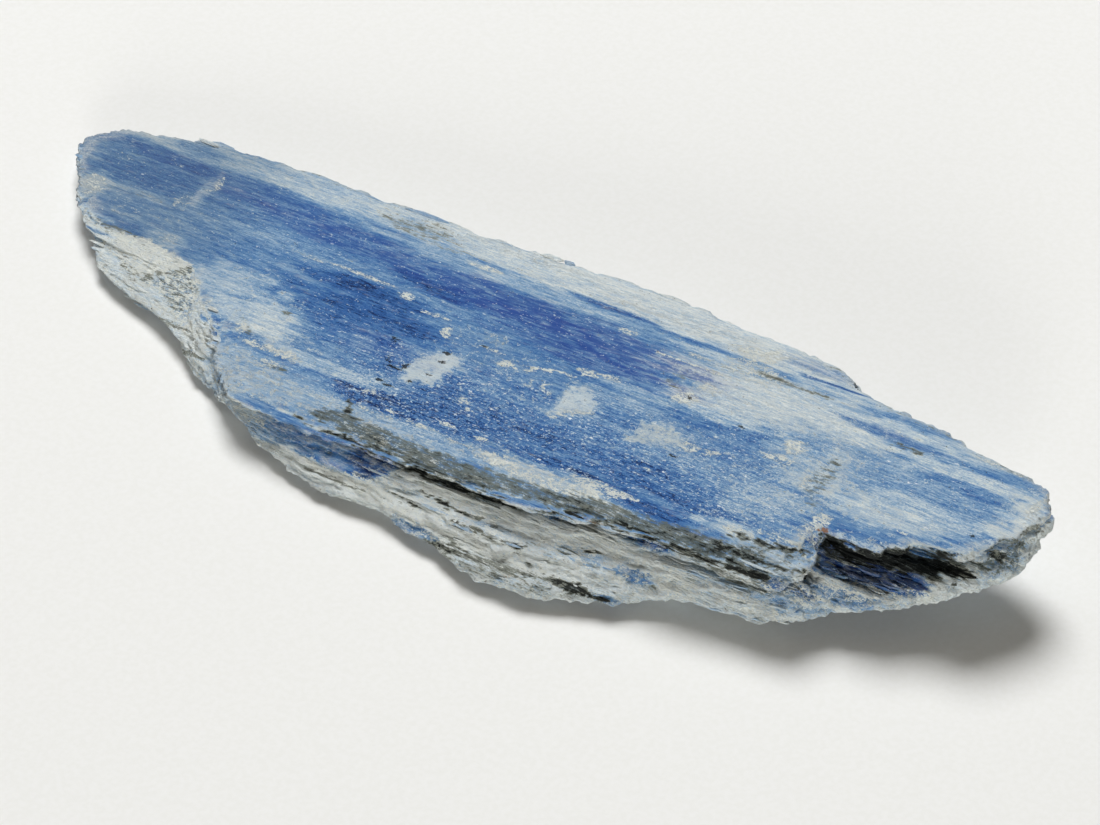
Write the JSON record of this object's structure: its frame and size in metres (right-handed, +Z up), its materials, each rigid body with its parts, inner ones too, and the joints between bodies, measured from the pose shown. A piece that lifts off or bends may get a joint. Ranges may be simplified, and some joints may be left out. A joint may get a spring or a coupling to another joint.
{
  "type": "kyanite blade cluster",
  "caption": "Raw blue mineral specimen: flat, parallel crystal blades grown together into one elongated, layered stone, lying on its flattest face.",
  "frame": {"origin": "middle of the bounding box's bottom face, on the surface that the stone lies on", "axes": "+X along the blades, towards the raised blade over the gap; +Y towards the back of the stone, away from the open cleft; +Z up"},
  "size_m": [0.101, 0.0346, 0.0096],
  "materials": {
    "kyanite": "silky, fibrous cleavage faces in blue streaks from pale to indigo, with cream-white broken edges and grey-green dirt in the clefts"
  },
  "bodies": {
    "root": {"kyanite_blades": "kyanite"}
  },
  "joints": []
}
